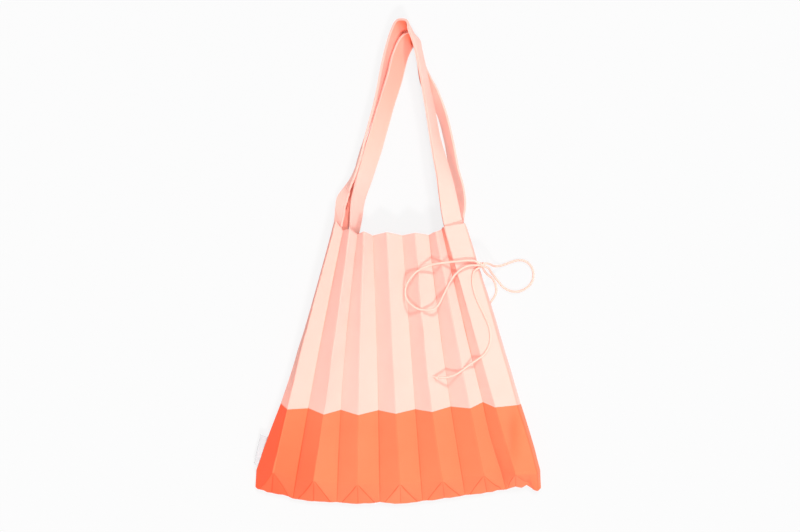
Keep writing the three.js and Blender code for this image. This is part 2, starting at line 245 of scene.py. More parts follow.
def yarn_colour_with_painted_shade(tree, height, colour, groove, mottle):
    """Colour of mottled yarn, with painted shade in the grooves between stitches and, by the tint, along
    folds, in hollows and on parts turned away from the light.
    """
    place = node(tree, "ShaderNodeTexCoord")
    noise = node(tree, "ShaderNodeTexNoise")
    noise.inputs["Scale"].default_value = MOTTLE_SCALE
    noise.inputs["Detail"].default_value = MOTTLE_DETAIL
    tree.links.new(place.outputs["Object"], noise.inputs["Vector"])
    plain = math_node(tree, "MULTIPLY", height, 1 - mottle)
    mottled = math_node(tree, "MULTIPLY", noise.outputs[0], mottle)
    # The groove colour is painted shade for the grooves between stitches
    ramp = node(tree, "ShaderNodeValToRGB")
    ramp.color_ramp.elements[0].position = GROOVE_AT
    ramp.color_ramp.elements[0].color = (*groove, 1)
    ramp.color_ramp.elements[1].position = YARN_AT
    ramp.color_ramp.elements[1].color = (*colour, 1)
    tree.links.new(math_node(tree, "ADD", plain, mottled), ramp.inputs[0])
    # Painted shade: the mesh's attribute sets how far the tint darkens the colour
    crease_and_painted_shade = node(tree, "ShaderNodeAttribute", attribute_name="crease_and_painted_shade")
    tint = node(tree, "ShaderNodeMixRGB", blend_type="MULTIPLY")
    tint.inputs["Color2"].default_value = (*PAINTED_SHADE_TINT, 1)
    tree.links.new(crease_and_painted_shade.outputs["Fac"], tint.inputs["Fac"])
    tree.links.new(ramp.outputs[0], tint.inputs["Color1"])
    return tint.outputs[0]


def knit_material(name, colour, groove, wale, course, relief, mottle):
    """Plain knit: a stitch's width, height and depth are wale, course and relief, in millimetres."""
    material = bpy.data.materials.new(name)
    material.use_nodes = True
    tree = material.node_tree
    shader = tree.nodes["Principled BSDF"]
    shader.inputs["Specular IOR Level"].default_value = SPECULAR
    shader.inputs["Sheen Weight"].default_value = SHEEN
    shader.inputs["Sheen Roughness"].default_value = SHEEN_ROUGHNESS
    height = stitch_height(tree, wale, course)
    tree.links.new(yarn_colour_with_painted_shade(tree, height, colour, groove, mottle), shader.inputs["Base Color"])
    rough = node(tree, "ShaderNodeMapRange")
    rough.inputs["To Min"].default_value = GROOVE_ROUGHNESS
    rough.inputs["To Max"].default_value = YARN_ROUGHNESS
    tree.links.new(height, rough.inputs["Value"])
    tree.links.new(rough.outputs[0], shader.inputs["Roughness"])
    bump = node(tree, "ShaderNodeBump")
    bump.inputs["Strength"].default_value = BUMP_STRENGTH
    bump.inputs["Distance"].default_value = relief * MM
    tree.links.new(height, bump.inputs["Height"])
    tree.links.new(bump.outputs[0], shader.inputs["Normal"])
    return material


BAG_STITCH = dict(wale=1.5, course=1.15, relief=0.25, mottle=0.35)
# Each groove colour is its yarn colour made darker, as painted shade between the stitches
PEACH = knit_material("peach_knit", colour=(0.96, 0.535, 0.468), groove=(0.95, 0.475, 0.398), **BAG_STITCH)
ORANGE = knit_material("orange_knit", colour=(0.96, 0.213, 0.094), groove=(0.94, 0.172, 0.07), **BAG_STITCH)
STRAP = knit_material(
    "strap_knit", colour=(0.96, 0.535, 0.465), groove=(0.95, 0.475, 0.395),
    wale=1.3, course=1.0, relief=0.22, mottle=0.35,
)
CORD = knit_material(
    "cord_knit", colour=(0.96, 0.56, 0.472), groove=(0.95, 0.51, 0.422),
    wale=1.0, course=1.1, relief=0.12, mottle=0.3,
)
LABEL = knit_material(
    "label_weave", colour=(0.57, 0.57, 0.58), groove=(0.51, 0.51, 0.522),
    wale=0.5, course=0.4, relief=0.06, mottle=0.3,
)


def finish_piece(obj, material, slot, *nodes):
    """Gives a piece its material and body, and hides the solids that it replaces; slot is not used."""
    obj.data.materials.append(material)
    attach(obj, "root")
    if nodes:
        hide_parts(*nodes)
    return obj


# Tie cord: the bow's two loops and two tails start in its knot
CORD_DIAMETER = 2.6
CORD_SIDES = 14
CORD_STEP = 0.8
CORD_TWIST = 1.5  # radians for each millimetre
CORD_RELIEF = 0.05  # depth of its strands, as a share of its radius
ROUTE_STEPS = 12
KNOT_CENTRE = [100.4, 285.6, 35.0]
LOOP_LEFT = [
    [99.4, 286.8, 36.4],
    [96.9, 288, 37.1], [91, 290.6, 39.2], [82, 291, 41.2], [73, 290, 43.6], [65, 289.4, 44.6],
    [53, 288, 44.4], [41, 286, 43.6], [25, 279.6, 44.2], [14, 269, 42.6], [9, 257.5, 40],
    [9.5, 246.5, 39.4], [14.8, 239, 40.6], [23.4, 233.4, 42.2], [33, 231.8, 42.9], [42, 232.6, 42],
    [48, 237.6, 41.6], [54.6, 250.6, 42.6], [62, 265.2, 43.9], [68.4, 274.6, 44.4], [76.8, 281.6, 43.7],
    [86, 285, 40.4], [96, 285.2, 37.6], [99.2, 285.4, 36.8],
]
LOOP_RIGHT = [
    [101.8, 286.6, 35.6], [105.5, 287.5, 34.9], [110, 286.8, 29], [114, 285.2, 19], [118, 284.2, 8.5],
    [126, 284.8, 2.4], [136.2, 288.4, 1.8], [145.1, 291.2, 1.8], [153.9, 290.8, 1.8], [161.4, 285.6, 1.8],
    [165.4, 276, 1.8], [164, 265.8, 1.8], [157, 257.6, 1.8], [147, 253.2, 1.8], [137.6, 253.8, 1.8],
    [128.8, 258.4, 1.8], [122.6, 265.4, 2.6], [116.4, 272.6, 8], [112, 278, 18], [109, 281.6, 27],
    [105, 283.4, 32.8], [101.8, 284.6, 34.2],
]
TAIL_LONG = [
    [99.6, 284.4, 35],
    [97, 282.4, 35.8], [91.6, 278.6, 38], [89.2, 271.8, 39], [89.4, 262, 39.4], [92, 250.6, 39.2],
    [97.2, 237.6, 38.9], [103.4, 225.2, 38.1], [108.6, 212.6, 37.1], [110.6, 200.4, 36.9],
    [108.8, 188.6, 37.6], [102.8, 178.8, 39.9], [93.6, 171.8, 40.1], [83.4, 164.8, 39.6],
    [75.2, 158.6, 39.4], [66.7, 153.6, 38.2], [57.6, 151, 37.5], [49.4, 150.6, 36.3],
]
TAIL_SHORT = [
    [101, 284, 33.6],
    [102, 282, 32.5], [105, 277.4, 25.5], [108.8, 273.6, 16.5], [115.6, 268.4, 6.4], [119.4, 260.6, 2],
    [120, 253, 1.8], [117.6, 246.4, 1.8], [114, 241.6, 1.8], [110.6, 235, 1.8], [109, 226, 1.8],
    [109.4, 216, 1.8],
]
END_KNOT_LONG = [46.5, 150.6, 36.0]
END_KNOT_SHORT = [109.7, 213.1, 2.7]
TIP_LONG = [-4.4, 1.6, -0.8]
TIP_SHORT = [0.6, -4.2, -0.9]
# Turns of the bow knot: place along the bow's neck, tilt in radians, and reach from the neck's middle
BOW_TURNS = [
    dict(shift=-1.2, tilt=0.12, reach=2.5),
    dict(shift=1.3, tilt=-0.15, reach=2.6),
    dict(shift=0.1, tilt=0.85, reach=2.7),
]
BOW_DIP = -0.25
BOW_STEPS = 40
BOW_CORD = dict(radius=1.15, sides=12, relief=0.04)
STOPPER_SCALE = 0.62
STOPPER_DEPTH = 0.9
STOPPER_STEPS = 72
STOPPER_CORD = dict(radius=0.95, sides=10, relief=0.04)
TIP_STEP = 0.5
TIP_CORD = dict(radius=1.1, sides=10, relief=0.05)


def cord(name, route, knot=None):
    """One part of the tie along its route; knot is not used."""
    line = even_steps(centripetal(route, ROUTE_STEPS), CORD_STEP)
    rings, uv = cord_rings(line, CORD_DIAMETER / 2, CORD_SIDES, twist=CORD_TWIST, relief=CORD_RELIEF)
    vertices, faces = ring_mesh(rings)
    obj = add_object(name + "_cord", vertices, faces, padded(uv, len(vertices)))
    finish_piece(obj, CORD, "tie_cord", name)


def bow_knot():
    """Two turns of cord round the bow's neck and one turn that crosses them."""
    angles = np.linspace(0, 2 * math.pi, BOW_STEPS, endpoint=False)
    parts = []
    for row in BOW_TURNS:
        axis = np.array([math.cos(row["tilt"]), math.sin(row["tilt"]), BOW_DIP])
        axis /= np.linalg.norm(axis)
        first = np.cross(axis, [0, 0, 1.0])
        first /= np.linalg.norm(first)
        second = np.cross(axis, first)
        circle = np.outer(np.cos(angles), first) + np.outer(np.sin(angles), second)
        line = np.array(KNOT_CENTRE) + axis * row["shift"] + row["reach"] * circle
        rings, uv = cord_rings(line, closed=True, **BOW_CORD)
        parts.append((*ring_mesh(rings, closed=True), uv))
    return finish_piece(add_object("bow_knot", *join_meshes(parts)), CORD, "tie_cord", "tie_knot")


def stopper_knot(name, centre, tip):
    """Overhand knot at the end of a tail, with the cord's short tip standing out of it."""
    t = np.linspace(0, 2 * math.pi, STOPPER_STEPS, endpoint=False)
    across = np.sin(t) + 2 * np.sin(2 * t)
    along = np.cos(t) - 2 * np.cos(2 * t)
    trefoil = np.stack([across, along, -STOPPER_DEPTH * np.sin(3 * t)], axis=1)
    rings, uv = cord_rings(np.array(centre) + STOPPER_SCALE * trefoil, closed=True, **STOPPER_CORD)
    end = np.array(centre) + np.array(tip)
    tip_rings, tip_uv = cord_rings(even_steps(np.array([centre, end]), TIP_STEP), **TIP_CORD)
    parts = [(*ring_mesh(rings, closed=True), uv), (*ring_mesh(tip_rings), tip_uv)]
    return finish_piece(add_object(name + "_knot", *join_meshes(parts)), CORD, "tie_cord", name)


cord("tie_loop_left", LOOP_LEFT, bow_knot())
cord("tie_loop_right", LOOP_RIGHT)
long_end = stopper_knot("tie_end_knot_long", END_KNOT_LONG, TIP_LONG)
cord("tie_tail_long", TAIL_LONG, long_end)
short_end = stopper_knot("tie_end_knot_short", END_KNOT_SHORT, TIP_SHORT)
cord("tie_tail_short", TAIL_SHORT, short_end)

# Knit halves of the bag: levels are heights of the middle of the wall over the surface
WALL = 1.8
CREST = 0.3  # flat top of a front ridge
VALLEY_FLAT = 0.8  # flat bottom of a valley
REST_FLAT = 4.5  # flat of a back ridge, where it rests
SEAM_HALF = 1.15  # half the distance of the two walls at a side seam
TOE_REACH = 21  # half the width of a ridge's triangle at the hem
CREST_SHARE = 0.3  # most of a panel that a crest may take
TOE_SHARE = 0.8  # most of a panel that a triangle may take
VALLEY_HIP_RISE = 24  # a valley's hip over its hem
FOLD_ROUND = 0.5  # reach of a fold's rounding
FOLD_ROUND_SHARE = 0.42  # most of a panel that a rounding may take
FOLD_SUPPORT = 0.03  # place of a panel's outer points, as a share of its width
EDGE_ROUND = 0.42  # reach of the rounding of the hem and the mouth, as a share of the wall
EDGE_SHARE = 0.2  # place of its two points, as a share of the wall
CREST_PIECES = dict(ridge=5, valley=1)  # parts of the mesh across half a crest
WIDE_PANEL_MORE = 4  # more parts in the wide panel at the right
TAB_PIECES = 2  # parts in the strip beside the right seam
HIP_TO_BAND = 80.0  # lengths of the two parts of a fold's curve
BAND_TO_MOUTH = 215.0
LEVELS = {
    "hem": dict(
        ridge=5, valley=5, rest_ridge=2.7, rest_valley=2.7,
        side_left=3.85, tab_edge=5, side_right=3.85,
    ),
    "hip": dict(
        ridge=26, valley=13.5, rest_ridge=1, rest_valley=7,
        side_left=8, tab_edge=19, side_right=10,
    ),
    "band": dict(
        ridge=35, valley=21.5, rest_ridge=1, rest_valley=9,
        side_left=13.5, tab_edge=27.5, side_right=16,
    ),
    "mouth": dict(
        ridge=41.5, valley=28, rest_ridge=1, rest_valley=10,
        side_left=17, tab_edge=36, side_right=20,
    ),
}
# Places along a fold are numbers: 0 at the hem, 1 at the hip, 2 at the colour line and 3 at the mouth
LINES = ("hem", "hip", "band", "mouth")
# Folds from left to right. lift is the height over the level, bow a curve to the side, crease how much
# deeper the fold is pressed and how much darker its painted shadow gets towards the mouth, shade_toe the
# painted shade of the hem triangle, and the other shades the painted shade of the panel to the right of the
# fold
FOLDS = [
    dict(
        kind="ridge", mouth=(-74.2, 337), band=(-133.4, 111.6), hip=(-150.5, 36), hem=(-154, 8),
        lift_band=-9, lift_mouth=-7, shade_base=0.4, shade_upper=0.08, shade_toe=0.6,
    ),
    dict(
        kind="valley", mouth=(-66, 326.4), band=(-108, 112.8), hem=(-128, 1.3),
        lift_mouth=3, crease_and_painted_shade=0.25, shade_base=0.5, shade_upper=0.1,
    ),
    dict(
        kind="ridge", mouth=(-57.6, 327.6), band=(-89.2, 106.6), hip=(-101.6, 26), hem=(-103, -2),
        shade_toe=0.42,
    ),
    dict(
        kind="valley", mouth=(-48.8, 321.6), band=(-69, 110.9), hem=(-74.4, -3),
        lift_mouth=4, crease_and_painted_shade=0.4,
    ),
    dict(
        kind="ridge", mouth=(-40.8, 324.7), band=(-47.5, 106), hip=(-48.8, 21), hem=(-48.8, -5),
        shade_toe=0.08,
    ),
    dict(kind="valley", mouth=(-30.4, 320.4), band=(-23.6, 110.4), hem=(-22, -3)),
    dict(kind="ridge", mouth=(-13.2, 324), band=(-2.4, 107.6), hip=(2.4, 21.6), hem=(3.2, -5)),
    dict(kind="valley", mouth=(5.3, 320.4), band=(21.1, 111.6), hem=(29.8, -1.5), lift_mouth=1),
    dict(kind="ridge", mouth=(20.6, 323.3), band=(41, 109.7), hip=(53.7, 25), hem=(56.4, 1.4)),
    dict(kind="valley", mouth=(37.2, 321), band=(63.8, 114.8), hem=(81.6, 5.6), lift_mouth=4, crease_and_painted_shade=0.5),
    dict(kind="ridge", mouth=(45.6, 324.7), band=(86.5, 114), hip=(103.5, 31.5), hem=(108.3, 8.7)),
    dict(
        kind="valley", mouth=(52.8, 327.6), band=(102.4, 120.7), hem=(131.5, 12.7), bow=-2,
        lift_band=5.5, lift_mouth=5.5, crease_and_painted_shade=0.9, shade_upper=0.1, shade_mouth=0.45,
    ),
    dict(kind="ridge", mouth=(55.7, 331), band=(116.9, 115.2), hip=(141.5, 32.5), hem=(143.2, 16)),
]
SIDE_LEFT = dict(mouth=(-76.8, 337), band=(-141.6, 117), hip=(-171.6, 36), hem=(-173.2, 13.4), bow=-1)
TAB_EDGE = dict(mouth=(80, 335), band=(143.6, 117), hip=(168.2, 34), hem=(170.5, 11), bow=0.8)
SIDE_RIGHT = dict(mouth=(82, 332), band=(148, 117), hip=(172, 36), hem=(173.5, 14), bow=0.8)


def smooth_between(hem, hip, band, mouth, line):
    """Straight from the hem to the hip, then one smooth curve through the colour line to the mouth.

    The shares 1.5 and 0.5 leave that curve unbent at its two ends."""
    hem, hip, band, mouth = (np.asarray(v, float) for v in (hem, hip, band, mouth))
    if line <= 1:
        return hem + (hip - hem) * line
    low = (band - hip) / HIP_TO_BAND
    high = (mouth - band) / BAND_TO_MOUTH
    middle = (low * BAND_TO_MOUTH + high * HIP_TO_BAND) / (HIP_TO_BAND + BAND_TO_MOUTH)
    if line <= 2:
        a, b, run, t = hip, band, HIP_TO_BAND, line - 1
        ta, tb = 1.5 * low - 0.5 * middle, middle
    else:
        a, b, run, t = band, mouth, BAND_TO_MOUTH, line - 2
        ta, tb = middle, 1.5 * high - 0.5 * middle
    ta, tb = ta * run, tb * run
    start = (2 * t**3 - 3 * t**2 + 1) * a + (t**3 - 2 * t**2 + t) * ta
    return start + (3 * t**2 - 2 * t**3) * b + (t**3 - t**2) * tb


def along_fold(fold, line):
    """Place of a fold at a line, seen from above; a valley's hip is worked out from its hem."""
    hem, band = fold["hem"], fold["band"]
    if "hip" in fold:
        hip = fold["hip"]
    else:
        share = VALLEY_HIP_RISE / (band[1] - hem[1])
        hip = (hem[0] + (band[0] - hem[0]) * share, hem[1] + VALLEY_HIP_RISE)
    at = smooth_between(hem, hip, band, fold["mouth"], line)
    if 1 < line < 2:
        at = at + np.array([fold.get("bow", 0) * math.sin(math.pi * (line - 1)), 0])
    return at


def level_at(column, line):
    """Height of one column of the levels at a line."""
    return float(smooth_between(*(LEVELS[name][column] for name in LINES), line))


def fold_lift(fold, line):
    """Height of a front fold over its level."""
    return smooth_between(0, 0, fold.get("lift_band", 0), fold.get("lift_mouth", 0), line)


def crest_points(index, line, z, flat):
    """Left shoulder, middle and right shoulder of a fold's crest."""
    here = along_fold(FOLDS[index], line)
    left = along_fold(FOLDS[index - 1] if index else SIDE_LEFT, line)
    right = along_fold(FOLDS[index + 1] if index + 1 < len(FOLDS) else TAB_EDGE, line)
    ridge = FOLDS[index]["kind"] == "ridge"
    points = []
    for neighbour in (left, here, right):
        distance = abs(neighbour[0] - here[0])
        if distance == 0:
            points.append((*here, z))
            continue
        narrow = min(flat / 2, CREST_SHARE * distance)
        reach = narrow
        if ridge:
            toe = min(TOE_REACH, TOE_SHARE * distance)
            reach = toe + (narrow - toe) * min(line, 1)
        share = reach / distance
        drop = share * (1 - line) if ridge and line < 1 else 0
        step = neighbour - here
        points.append((here[0] + step[0] * share, here[1] + step[1] * drop, z))
    return points


def corners_at(line, half):
    """Corners of one half's section, from the left seam to the right seam."""
    front = half == "front"
    seam = SEAM_HALF if front else -SEAM_HALF
    left = (*along_fold(SIDE_LEFT, line), level_at("side_left", line))
    right = (*along_fold(SIDE_RIGHT, line), level_at("side_right", line))
    ridge = level_at("ridge" if front else "rest_ridge", line)
    valley = level_at("valley" if front else "rest_valley", line)
    flat = CREST if front else REST_FLAT
    corners = [left, (left[0], left[1], left[2] + seam)]
    for i, fold in enumerate(FOLDS):
        lift = fold_lift(fold, line) if front else 0
        if fold["kind"] == "ridge":
            corners += crest_points(i, line, ridge + lift, flat)
        else:
            corners += crest_points(i, line, valley + lift, VALLEY_FLAT)
    if front:
        corners.append((*along_fold(TAB_EDGE, line), level_at("tab_edge", line)))
    corners += [(right[0], right[1], right[2] + seam), right]
    return np.array(corners, float)


def panel_shares(pieces):
    """Places of the points between two corners; the outer ones, close to the folds, keep panels flat."""
    if pieces == 2:
        return [0.5]
    return np.linspace(FOLD_SUPPORT, 1 - FOLD_SUPPORT, pieces - 1)


def rounded(corners, pieces):
    """The corners' line with each corner rounded and pieces[k] parts between corner k and the next."""
    steps = np.diff(corners, axis=0)
    lengths = np.linalg.norm(steps, axis=1)
    ways = steps / np.maximum(lengths, TINY)[:, None]
    out = [corners[0]]
    leave = corners[0]
    for k in range(1, len(corners)):
        last = k == len(corners) - 1
        reach = 0 if last else min(FOLD_ROUND, FOLD_ROUND_SHARE * min(lengths[k - 1], lengths[k]))
        enter = corners[k] - ways[k - 1] * reach
        for share in panel_shares(pieces[k - 1]):
            out.append(leave + (enter - leave) * share)
        if last:
            out.append(corners[k])
            break
        leave = corners[k] + ways[k] * reach
        out += [enter, 0.25 * enter + 0.5 * corners[k] + 0.25 * leave, leave]
    return np.array(out)


def section_pieces(half, fine):
    """Number of parts between each two corners of a half's section; fine is that of a panel."""
    pieces = [1]
    for fold in FOLDS:
        pieces.append(fine)
        pieces += [CREST_PIECES[fold["kind"]]] * 2
    pieces.append(fine + WIDE_PANEL_MORE)
    if half == "front":
        pieces.append(TAB_PIECES)
    pieces.append(1)
    return pieces


# Slow waves of the soft cloth: height in millimetres, and the slopes and start of the two sines it is made of
SOFT_WAVES = [
    dict(height=0.32, sines=((0.061, 0.043, 0.6), (-0.05, 0.037, 1.9))),
    dict(height=0.2, sines=((0.13, -0.071, 2.2), (0.0, 0.093, 0.4))),
]


def soft_waves(x, y):
    """Slow, shallow waves of soft cloth, in millimetres."""
    total = np.zeros(x.shape)
    for wave in SOFT_WAVES:
        swell = np.full(x.shape, wave["height"])
        for by_x, by_y, start in wave["sines"]:
            swell *= np.sin(by_x * x + by_y * y + start)
        total += swell
    return total


def bell(values, middle, spread):
    """A smooth rise to 1 at the middle."""
    return np.exp(-(((values - middle) / spread) ** 2))


def grid_normals(grid):
    """Unit normals of a grid, upwards."""
    across = np.gradient(grid, axis=1)
    along = np.gradient(grid, axis=0)
    n = np.cross(across, along)
    return n / np.maximum(np.linalg.norm(n, axis=2), TINY)[:, :, None]


# The tie presses the right edge down beside its knot
PINCH = dict(y=285.6, spread=9.0, reach=32.0, inward=0.5, down=2.0)
# Notches of the hem, where it is drawn up: the largest is beside its hanging right corner
NOTCH_TOP = 0.9  # place along the folds where they end
NOTCHES = [
    dict(x=158.0, spread=4.5, rise=5.0),
    dict(x=122.0, spread=3.5, rise=1.3),
    dict(x=57.0, spread=2.0, rise=0.7),
    dict(x=-139.0, spread=7.0, rise=2.0),
    dict(x=-165.5, spread=2.2, rise=1.6),
    dict(x=-175.5, spread=3.0, rise=3.0),
]
# A soft dent in the right panel of the base, with painted shade in it
DENT = dict(x=139.5, y=80.0, across=7.0, along=30.0, depth=3.5, shade=0.3)
# Creases: how deep they are pressed in, and how strongly painted shade darkens each kind and the left wall
# beside the seam
CREASE_DEPTH = 0.35
VALLEY_CREASE_AND_SHADE = dict(base=0.55, upper=0.3)
TRIANGLE_CREASE_AND_SHADE = 0.9
TOE_CREASE_AND_SHADE = 0.4
RIDGE_CREASE_AND_SHADE = 0.15
EDGE_CREASE_AND_SHADE = 0.25
LEFT_WALL_SHADE = dict(base=0.85, upper=0.22)


def crease_and_shade_marks(rows, pieces):
    """How strongly each point of a front grid is pressed in and darkened by painted shade, along folds, in
    hem triangles and on panels.

    A base panel has its full painted shade up to the hip and half of it at the colour line."""
    corner_columns = 2 + np.cumsum(np.array(pieces[:-1]) - 1) + 3 * np.arange(len(pieces) - 1)
    marks = np.zeros((len(rows), int(np.sum(np.array(pieces) - 1)) + 3 * (len(pieces) - 1) + 2))
    line = np.asarray(rows)[:, None]
    base = line <= 2
    low = (line < 1).astype(float)
    to_mouth = np.clip(line - 2, 0, 1)
    for i, fold in enumerate(FOLDS):
        left, middle, right = corner_columns[3 * i + 1 : 3 * i + 4]
        in_base = fold.get("shade_base", 0) * np.clip(1.5 - 0.5 * line, 0, 1)
        in_upper = fold.get("shade_upper", 0) + fold.get("shade_mouth", 0) * to_mouth**2
        shade = np.where(base, in_base, in_upper)
        marks[:, right + 2 : corner_columns[3 * i + 4]] += shade
        if fold["kind"] == "valley":
            pressed = np.where(base, VALLEY_CREASE_AND_SHADE["base"], VALLEY_CREASE_AND_SHADE["upper"])
            pressed = pressed + fold.get("crease_and_painted_shade", 0) * to_mouth + shade
            marks[:, left - 1 : right + 2] = np.minimum(pressed, 1)
            continue
        marks[:, left : right + 1] = RIDGE_CREASE_AND_SHADE * (1 - low) + fold.get("shade_toe", 0) * low
        for column, depth in ((left, TRIANGLE_CREASE_AND_SHADE), (middle, TOE_CREASE_AND_SHADE), (right, TRIANGLE_CREASE_AND_SHADE)):
            marks[:, column - 1 : column + 2] += depth * low
    marks[:, : corner_columns[1]] = np.where(base, LEFT_WALL_SHADE["base"], LEFT_WALL_SHADE["upper"])
    tab = corner_columns[3 * len(FOLDS) + 1]
    marks[:, tab - 1 : tab + 2] = EDGE_CREASE_AND_SHADE
    return marks


# Uneven edge of the hem: a small ripple whose spacing drifts, and slow scallops
RIPPLE = dict(height=0.22, slope=0.41, drift=1.7, drift_slope=0.07)
SCALLOPS = dict(height=0.5, slope=0.121, start=0.9)


def hem_ripple(x):
    """Uneven ripple of the cast-on edge, in millimetres."""
    drift = RIPPLE["drift"] * np.sin(RIPPLE["drift_slope"] * x)
    small = RIPPLE["height"] * np.sin(RIPPLE["slope"] * x + drift)
    scallops = SCALLOPS["height"] * (np.sin(SCALLOPS["slope"] * x + SCALLOPS["start"]) ** 2 - 0.5)
    return small + scallops


def half_grid(half, rows, fine):
    """The middle of the wall of one half: rows from the hem to the mouth, columns from left to right."""
    pieces = section_pieces(half, fine)
    grid = np.array([rounded(corners_at(line, half), pieces) for line in rows])
    x, y = grid[:, :, 0].copy(), grid[:, :, 1].copy()
    edge = np.array([along_fold(SIDE_RIGHT, line)[0] for line in rows])[:, None]
    near = bell(y, PINCH["y"], PINCH["spread"]) * np.clip(1 - (edge - x) / PINCH["reach"], 0, 1) ** 2
    grid[:, :, 0] -= PINCH["inward"] * near
    low = np.clip(1 - np.asarray(rows, float) / NOTCH_TOP, 0, 1)[:, None]
    for notch in NOTCHES:
        grid[:, :, 1] += notch["rise"] * bell(x, notch["x"], notch["spread"]) * low
    grid[:, :, 1] += hem_ripple(x) * low**2
    marks = np.zeros(x.shape)
    if half == "front":
        # The marks press the folds in a little and set the painted shade along folds, in hem triangles and on
        # panels
        marks = crease_and_shade_marks(rows, pieces)
        grid[:, :, 2] -= PINCH["down"] * near
        soft = np.clip(np.asarray(rows, float), 0, 1)[:, None]
        dent = bell(x, DENT["x"], DENT["across"]) * bell(y, DENT["y"], DENT["along"])
        out = soft_waves(x, y) * soft - CREASE_DEPTH * marks - DENT["depth"] * dent
        grid += grid_normals(grid) * out[:, :, None]
        # Painted shade in the dent
        marks = marks + DENT["shade"] * dent
    return grid, marks


def edge_rows(first, second, way):
    """Two rows of points round an edge of the wall, from its first face to its second."""
    return [
        (1 - EDGE_SHARE) * first + EDGE_SHARE * second + way * (EDGE_ROUND * WALL),
        EDGE_SHARE * first + (1 - EDGE_SHARE) * second + way * (EDGE_ROUND * WALL),
    ]


def shell(name, grid, normals, cloth, marks, round_start, round_end):
    """A closed wall round a grid, with rounded edges where the cloth ends."""
    rows, count = grid.shape[:2]
    outer = grid + normals * WALL / 2
    inner = grid - normals * WALL / 2
    ways = np.gradient(grid, axis=0)
    ways /= np.maximum(np.linalg.norm(ways, axis=2), TINY)[:, :, None]
    layers = [*outer, *edge_rows(outer[-1], inner[-1], ways[-1] * round_end)]
    layers += [*inner[::-1], *edge_rows(inner[0], outer[0], -ways[0] * round_start)]
    maps = [*cloth, cloth[-1], cloth[-1], *cloth[::-1], cloth[0], cloth[0]]
    # The marks go to the mesh as the strength of its painted shade
    painted_shade_marks = [*marks, marks[-1], marks[-1], *marks[::-1], marks[0], marks[0]]
    layers = np.array(layers)
    total = len(layers)
    faces = []
    for k in range(total):
        a = k * count
        b = ((k + 1) % total) * count
        for i in range(count - 1):
            faces.append((a + i, a + i + 1, b + i + 1, b + i))
    for edge, order in ((0, 1), (count - 1, -1)):
        ends = [((k * count + edge), ((total - 3 - k) * count + edge)) for k in range(rows + 1)]
        ends.insert(0, ((total - 1) * count + edge, (total - 2) * count + edge))
        for (a, d), (b, c) in zip(ends, ends[1:]):
            faces.append((a, b, c, d)[::order])
    uv = np.array(maps).reshape(-1, 2)
    return add_object(name, layers.reshape(-1, 3), faces, uv, np.array(painted_shade_marks).ravel())


# Lengths along the cloth that set how many rows each stretch of a half gets
ROW_RUNS = dict(hem=30, base=82, upper=215)
FEWEST_ROWS = 6


def half_pieces(half, row_step, fine):
    """The base and the upper part of one half, cut from one grid at the colour line."""
    counts = {name: int(run / row_step) for name, run in ROW_RUNS.items()}
    hem_rows = np.linspace(0, 1, max(FEWEST_ROWS, counts["hem"]) + 1)[:-1]
    base_rows = np.concatenate([hem_rows, np.linspace(1, 2, counts["base"] + 1)])
    upper_rows = np.linspace(2, 3, counts["upper"] + 1)[1:]
    rows = np.concatenate([base_rows, upper_rows])
    grid, marks = half_grid(half, rows, fine)
    normals = grid_normals(grid) * (1 if half == "front" else -1)
    split = len(base_rows) - 1
    across = run_along(grid[split])
    steps = np.linalg.norm(np.diff(grid, axis=0), axis=2)
    along = np.concatenate([np.zeros((1, grid.shape[1])), np.cumsum(steps, axis=0)])
    cloth = np.stack([np.tile(across, (len(rows), 1)), along], axis=2)
    for part, cut, ends, material, slot in (
        ("base", slice(0, split + 1), (1, 0), ORANGE, "orange_knit"),
        ("upper", slice(split, None), (0, 1), PEACH, "pale_knit"),
    ):
        piece = shell(f"{half}_{part}_cloth", grid[cut], normals[cut], cloth[cut], marks[cut], *ends)
        finish_piece(piece, material, slot, f"{half}_{part}")


half_pieces("front", row_step=2.0, fine=6)
half_pieces("back", row_step=3.0, fine=4)

# Shoulder straps: a flat knit tube, with the groove of its two layers along each edge
STRAP_HALF_WIDTH = 12
STRAP_HALF_THICKNESS = 1.45
STRAP_STEP = 1.5
STRAP_PARTS = 8  # parts of its line between two rows
STRAP_LIFT = 0.3  # least height over the surface
STRAP_EDGE_MAP = 2  # stretch of its map through the thickness, round the edges
# Slow changes of its width: share of the width, slope and start of each sine
STRAP_SLACK = ((0.012, 0.06, 0.8), (0.008, 0.17, 0.0))
# The painted shade on its inner face fades out beside the edges, as shares of half the width and half the
# thickness
SHADE_EDGE = 0.95
SHADE_FADE = 0.1
INNER_FACE = -0.5


def turn(x, y, z, lean, tuck=0, upper=STRAP_HALF_WIDTH, lower=STRAP_HALF_WIDTH, painted_inner_shade=0):
    """One row of a strap: its middle, the lean of its upper half, how far its lower half is folded inwards
    from that, the widths of the two halves, and how deep the painted shade on its inner face is."""
    return (x, y, z, lean, tuck, upper, lower, painted_inner_shade)


